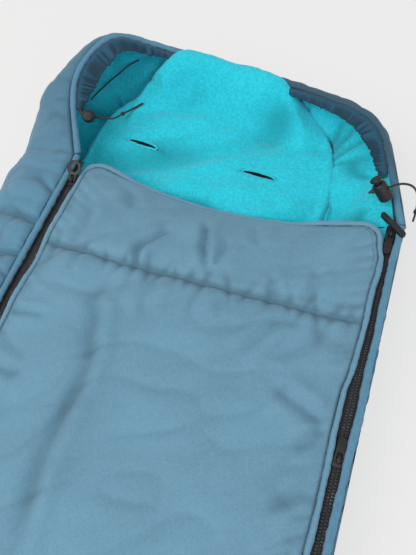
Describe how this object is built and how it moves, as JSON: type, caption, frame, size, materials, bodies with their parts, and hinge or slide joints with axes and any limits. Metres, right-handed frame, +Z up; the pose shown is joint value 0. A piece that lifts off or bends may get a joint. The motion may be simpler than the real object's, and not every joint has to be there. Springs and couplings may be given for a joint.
{
  "type": "stroller footmuff",
  "caption": "Padded footmuff for a stroller seat: a fleece-lined bag with harness slits, a quilted cover that folds down between two long zips, and a drawcord hood with cord locks.",
  "frame": {"origin": "middle of the footmuff's box, on the surface that it lies on", "axes": "+Y from the foot end towards the hood, +Z up out of the bag through the cover, +X towards the right of someone who looks down on it with the hood at the top"},
  "size_m": [0.4816, 0.9228, 0.1282],
  "materials": {
    "shell_cloth": "matt twill weave, petrol blue",
    "cover_cloth": "matt twill weave, lighter grey blue",
    "fleece": "soft turquoise pile",
    "wadding": "white polyester filling",
    "black_tape": "woven black tape and cord",
    "black_plastic": "satin black moulding",
    "spring_steel": "bright wire"
  },
  "bodies": {
    "shell": {"back_outer": "shell_cloth", "back_wadding": "wadding", "back_fleece": "fleece", "hood_welt": "shell_cloth", "cord_channel": "shell_cloth", "draw_cord": "black_tape", "hanging_loop": "black_tape", "shoulder_slit_binding_left": "black_tape", "shoulder_slit_binding_right": "black_tape", "waist_slit_binding_left": "black_tape", "waist_slit_binding_right": "black_tape", "crotch_slit_binding": "black_tape", "left_gusset_outer": "shell_cloth", "left_gusset_wadding": "wadding", "left_gusset_fleece": "fleece", "right_gusset_outer": "shell_cloth", "right_gusset_wadding": "wadding", "right_gusset_fleece": "fleece", "hood_outer": "shell_cloth", "hood_wadding": "wadding", "hood_fleece": "fleece", "foot_gusset_outer": "shell_cloth", "foot_gusset_wadding": "wadding", "foot_gusset_fleece": "fleece", "shell_welt_left": "shell_cloth", "cord_tail_left": "black_tape", "cord_knot_left": "black_tape", "zip_tape_shell_left": "black_tape", "zip_teeth_shell_left": "black_plastic", "zip_box_left": "black_plastic", "shell_welt_right": "shell_cloth", "cord_tail_right": "black_tape", "cord_knot_right": "black_tape", "zip_tape_shell_right": "black_tape", "zip_teeth_shell_right": "black_plastic", "zip_box_right": "black_plastic"},
    "cover": {"cover_outer": "cover_cloth", "cover_wadding_lower": "wadding", "cover_wadding_band": "wadding", "cover_fleece": "fleece", "cover_piping": "cover_cloth", "zip_tape_cover_left": "black_tape", "zip_teeth_cover_left": "black_plastic", "zip_tape_cover_right": "black_tape", "zip_teeth_cover_right": "black_plastic"},
    "top_slider_left": {"zip_slider_left": "black_plastic"},
    "top_pull_left": {"zip_pull_left": "black_plastic"},
    "top_slider_right": {"zip_slider_right": "black_plastic"},
    "top_pull_right": {"zip_pull_right": "black_plastic"},
    "grip_right": {"zip_grip_right": "black_plastic"},
    "low_slider_left": {"lower_slider_left": "black_plastic"},
    "low_pull_left": {"lower_pull_left": "black_plastic"},
    "low_slider_right": {"lower_slider_right": "black_plastic"},
    "low_pull_right": {"lower_pull_right": "black_plastic"},
    "lock_left": {"lock_barrel_left": "black_plastic", "lock_spring_left": "spring_steel"},
    "button_left": {"lock_plunger_left": "black_plastic"},
    "lock_right": {"lock_barrel_right": "black_plastic", "lock_spring_right": "spring_steel"},
    "button_right": {"lock_plunger_right": "black_plastic"}
  },
  "joints": [
    {"name": "cover_fold", "type": "hinge", "parent": "shell", "child": "cover", "pos_m": [0.044, -0.4168, 0.0862], "axis": [1, 0, 0], "range_deg": [0, 165]},
    {"name": "top_zip_left", "type": "slide", "parent": "shell", "child": "top_slider_left", "axis": [0, -1, 0], "range_m": [0, 0.1812]},
    {"name": "top_zip_right", "type": "slide", "parent": "shell", "child": "top_slider_right", "axis": [0, -1, 0], "range_m": [0, 0.1862]},
    {"name": "low_zip_left", "type": "slide", "parent": "shell", "child": "low_slider_left", "axis": [0, -1, 0], "range_m": [0, 0.386]},
    {"name": "low_zip_right", "type": "slide", "parent": "shell", "child": "low_slider_right", "axis": [0, -1, 0], "range_m": [0, 0.386]},
    {"name": "ring_swing_left", "type": "hinge", "parent": "top_slider_left", "child": "top_pull_left", "pos_m": [-0.1315, 0.2292, 0.0849], "axis": [1, 0, 0], "range_deg": [0, 114]},
    {"name": "tab_swing_right", "type": "hinge", "parent": "top_slider_right", "child": "top_pull_right", "pos_m": [0.2195, 0.2522, 0.0849], "axis": [1, 0, 0], "range_deg": [-64, 0]},
    {"name": "grip_turn_right", "type": "hinge", "parent": "top_slider_right", "child": "grip_right", "pos_m": [0.2195, 0.259, 0.0928], "axis": [0, 0, 1], "range_deg": [-6, 80]},
    {"name": "low_pull_swing_left", "type": "hinge", "parent": "low_slider_left", "child": "low_pull_left", "pos_m": [-0.1315, 0.0212, 0.0849], "axis": [1, 0, 0], "range_deg": [0, 165]},
    {"name": "low_pull_swing_right", "type": "hinge", "parent": "low_slider_right", "child": "low_pull_right", "pos_m": [0.2195, 0.0212, 0.0849], "axis": [1, 0, 0], "range_deg": [0, 165]},
    {"name": "lock_slide_left", "type": "slide", "parent": "shell", "child": "lock_left", "axis": [0.9218, 0.3058, -0.2383], "range_m": [0, 0.006]},
    {"name": "lock_slide_right", "type": "slide", "parent": "shell", "child": "lock_right", "axis": [0.7548, 0.1078, 0.647], "range_m": [0, 0.006]},
    {"name": "button_press_left", "type": "slide", "parent": "lock_left", "child": "button_left", "axis": [-0.3804, 0.5945, -0.7085], "range_m": [0, 0.0034], "stiffness_N_per_m": 300, "springref_m": -0.003, "deforming": ["lock_spring_left"]},
    {"name": "button_press_right", "type": "slide", "parent": "lock_right", "child": "button_right", "axis": [0.645, -0.3014, -0.7023], "range_m": [0, 0.0034], "stiffness_N_per_m": 300, "springref_m": -0.003, "deforming": ["lock_spring_right"]}
  ]
}
